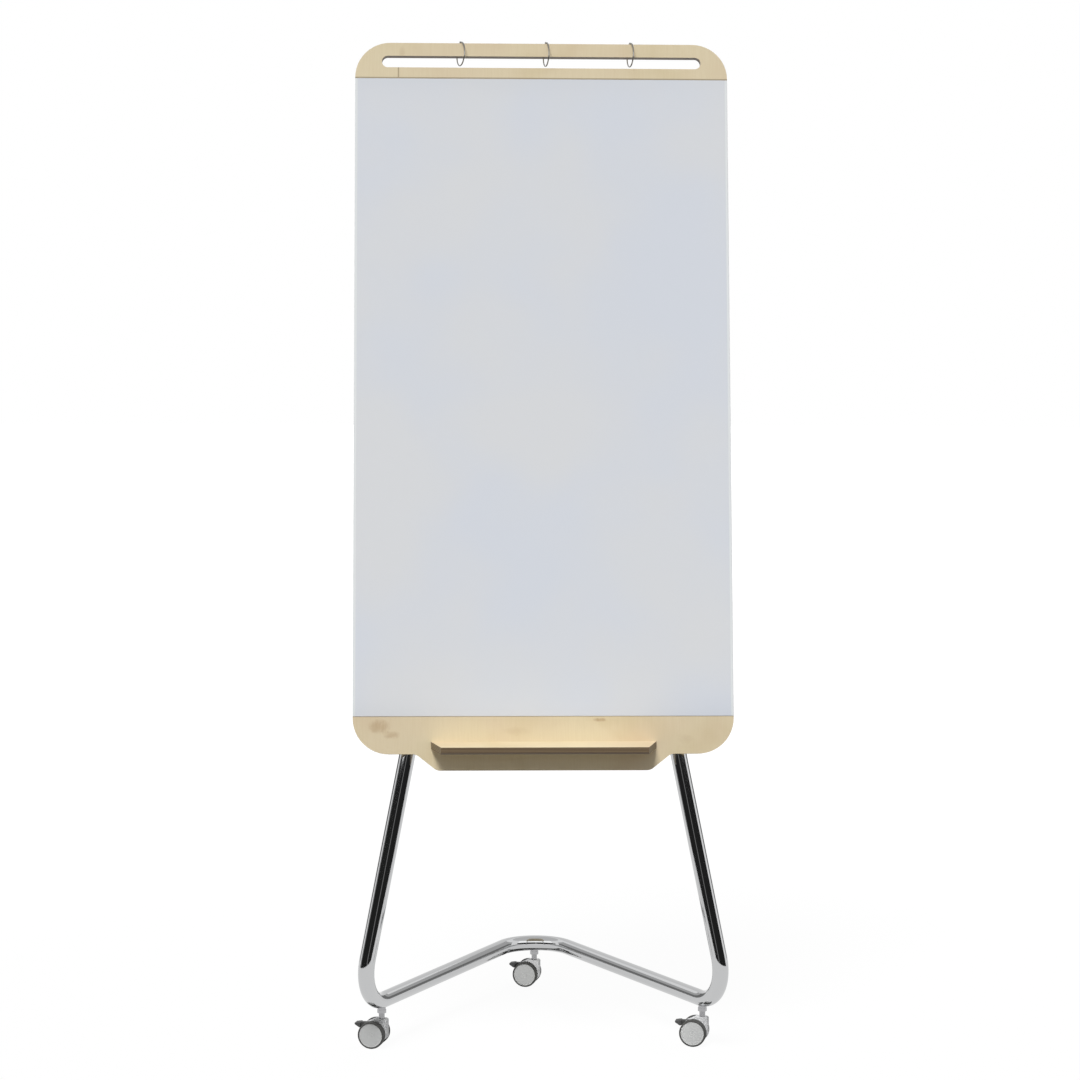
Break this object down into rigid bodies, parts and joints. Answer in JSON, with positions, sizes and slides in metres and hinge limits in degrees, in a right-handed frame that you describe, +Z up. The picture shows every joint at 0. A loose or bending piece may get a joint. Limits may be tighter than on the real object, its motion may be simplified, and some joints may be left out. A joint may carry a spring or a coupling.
{
  "type": "flipchart easel",
  "caption": "Mobile writing easel: a leaning plywood board with a full-width glass sheet, hanging rings in a top slot, a pen shelf and a bent tube frame on braked swivel casters.",
  "frame": {"origin": "on the floor under the middle of the easel's box", "axes": "+Z up, -Y towards the person reading the board, +X to the right seen from the front"},
  "size_m": [0.7, 0.5988, 1.8698],
  "materials": {
    "chrome_tube": "mirror chrome plate",
    "black_cap_plastic": "fine matt",
    "black_steel": "black powder coat",
    "zinc_fixings": "zinc plated",
    "birch_plywood": "clear satin lacquer, laminated edge",
    "steel_sheet": "white painted sheet",
    "white_glass": "toughened glass, white backed, polished edge",
    "plated_steel": "bright plated",
    "nickel_ring": "nickel plated wire",
    "light_grey_plastic": "moulded, satin",
    "dark_lever_plastic": "moulded",
    "dark_tyre": "soft tread",
    "grey_wheel_plastic": "moulded, fine matt"
  },
  "bodies": {
    "frame": {"frame_tube": "chrome_tube", "tube_end_caps": "black_cap_plastic", "lower_rail": "black_steel", "upper_rail": "black_steel", "leg_bolts": "zinc_fixings", "rail_screws": "zinc_fixings", "board_inserts": "zinc_fixings", "backboard": "birch_plywood", "steel_sheet": "steel_sheet", "glass_panel": "white_glass", "pen_shelf": "birch_plywood", "shelf_screws": "zinc_fixings", "caster_bosses": "chrome_tube", "caster_stems": "plated_steel", "stem_lock_nuts": "plated_steel"},
    "front_left_swivel": {"front_left_swivel_housing": "light_grey_plastic", "front_left_axle": "plated_steel", "front_left_lever_pin": "plated_steel"},
    "front_left_brake": {"front_left_brake_lever": "dark_lever_plastic"},
    "front_left_near_wheel": {"front_left_near_wheel_core": "grey_wheel_plastic", "front_left_near_wheel_tyre": "dark_tyre", "front_left_near_wheel_cap": "grey_wheel_plastic"},
    "front_left_far_wheel": {"front_left_far_wheel_core": "grey_wheel_plastic", "front_left_far_wheel_tyre": "dark_tyre", "front_left_far_wheel_cap": "grey_wheel_plastic"},
    "front_right_swivel": {"front_right_swivel_housing": "light_grey_plastic", "front_right_axle": "plated_steel", "front_right_lever_pin": "plated_steel"},
    "front_right_brake": {"front_right_brake_lever": "dark_lever_plastic"},
    "front_right_near_wheel": {"front_right_near_wheel_core": "grey_wheel_plastic", "front_right_near_wheel_tyre": "dark_tyre", "front_right_near_wheel_cap": "grey_wheel_plastic"},
    "front_right_far_wheel": {"front_right_far_wheel_core": "grey_wheel_plastic", "front_right_far_wheel_tyre": "dark_tyre", "front_right_far_wheel_cap": "grey_wheel_plastic"},
    "rear_swivel": {"rear_swivel_housing": "light_grey_plastic", "rear_axle": "plated_steel", "rear_lever_pin": "plated_steel"},
    "rear_brake": {"rear_brake_lever": "dark_lever_plastic"},
    "rear_near_wheel": {"rear_near_wheel_core": "grey_wheel_plastic", "rear_near_wheel_tyre": "dark_tyre", "rear_near_wheel_cap": "grey_wheel_plastic"},
    "rear_far_wheel": {"rear_far_wheel_core": "grey_wheel_plastic", "rear_far_wheel_tyre": "dark_tyre", "rear_far_wheel_cap": "grey_wheel_plastic"},
    "ring_left": {"ring_left_rear_half": "nickel_ring", "ring_left_hinge_pin": "nickel_ring"},
    "ring_left_front": {"ring_left_front_half": "nickel_ring"},
    "ring_middle": {"ring_middle_rear_half": "nickel_ring", "ring_middle_hinge_pin": "nickel_ring"},
    "ring_middle_front": {"ring_middle_front_half": "nickel_ring"},
    "ring_right": {"ring_right_rear_half": "nickel_ring", "ring_right_hinge_pin": "nickel_ring"},
    "ring_right_front": {"ring_right_front_half": "nickel_ring"}
  },
  "joints": [
    {"name": "front_left_swivel_turn", "type": "hinge", "parent": "frame", "child": "front_left_swivel", "pos_m": [-0.29798, -0.19946, 0.04], "axis": [0, 0, 1], "continuous": true},
    {"name": "front_left_near_wheel_spin", "type": "hinge", "parent": "front_left_swivel", "child": "front_left_near_wheel", "pos_m": [-0.31247, -0.19558, 0.025], "axis": [0.2588, 0.9659, 0], "continuous": true},
    {"name": "front_left_far_wheel_spin", "type": "hinge", "parent": "front_left_swivel", "child": "front_left_far_wheel", "pos_m": [-0.31247, -0.19558, 0.025], "axis": [0.2588, 0.9659, 0], "continuous": true},
    {"name": "front_left_brake_press", "type": "hinge", "parent": "front_left_swivel", "child": "front_left_brake", "pos_m": [-0.32406, -0.19247, 0.04], "axis": [-0.2588, -0.9659, 0], "range_deg": [0, 18]},
    {"name": "front_right_swivel_turn", "type": "hinge", "parent": "frame", "child": "front_right_swivel", "pos_m": [0.29798, -0.19946, 0.04], "axis": [0, 0, 1], "continuous": true},
    {"name": "front_right_near_wheel_spin", "type": "hinge", "parent": "front_right_swivel", "child": "front_right_near_wheel", "pos_m": [0.28349, -0.19558, 0.025], "axis": [0.2588, 0.9659, 0], "continuous": true},
    {"name": "front_right_far_wheel_spin", "type": "hinge", "parent": "front_right_swivel", "child": "front_right_far_wheel", "pos_m": [0.28349, -0.19558, 0.025], "axis": [0.2588, 0.9659, 0], "continuous": true},
    {"name": "front_right_brake_press", "type": "hinge", "parent": "front_right_swivel", "child": "front_right_brake", "pos_m": [0.2719, -0.19247, 0.04], "axis": [-0.2588, -0.9659, 0], "range_deg": [0, 18]},
    {"name": "rear_swivel_turn", "type": "hinge", "parent": "frame", "child": "rear_swivel", "pos_m": [0, 0.26676, 0.04], "axis": [0, 0, 1], "continuous": true},
    {"name": "rear_near_wheel_spin", "type": "hinge", "parent": "rear_swivel", "child": "rear_near_wheel", "pos_m": [-0.01449, 0.27064, 0.025], "axis": [0.2588, 0.9659, 0], "continuous": true},
    {"name": "rear_far_wheel_spin", "type": "hinge", "parent": "rear_swivel", "child": "rear_far_wheel", "pos_m": [-0.01449, 0.27064, 0.025], "axis": [0.2588, 0.9659, 0], "continuous": true},
    {"name": "rear_brake_press", "type": "hinge", "parent": "rear_swivel", "child": "rear_brake", "pos_m": [-0.02608, 0.27375, 0.04], "axis": [-0.2588, -0.9659, 0], "range_deg": [0, 18]},
    {"name": "ring_left_slide", "type": "slide", "parent": "frame", "child": "ring_left", "axis": [1, 0, 0], "range_m": [-0.12, 0.06]},
    {"name": "ring_left_open", "type": "hinge", "parent": "ring_left", "child": "ring_left_front", "pos_m": [-0.152, 0.00918, 1.86714], "axis": [-0.9455, -0.3206, 0.0565], "range_deg": [0, 80]},
    {"name": "ring_middle_slide", "type": "slide", "parent": "frame", "child": "ring_middle", "axis": [1, 0, 0], "range_m": [-0.06, 0.06]},
    {"name": "ring_middle_open", "type": "hinge", "parent": "ring_middle", "child": "ring_middle_front", "pos_m": [0.009, 0.00915, 1.86696], "axis": [-0.9781, -0.2048, 0.0361], "range_deg": [0, 80]},
    {"name": "ring_right_slide", "type": "slide", "parent": "frame", "child": "ring_right", "axis": [1, 0, 0], "range_m": [-0.06, 0.105]},
    {"name": "ring_right_open", "type": "hinge", "parent": "ring_right", "child": "ring_right_front", "pos_m": [0.168, 0.00915, 1.86696], "axis": [-0.9781, -0.2048, 0.0361], "range_deg": [0, 80]}
  ]
}
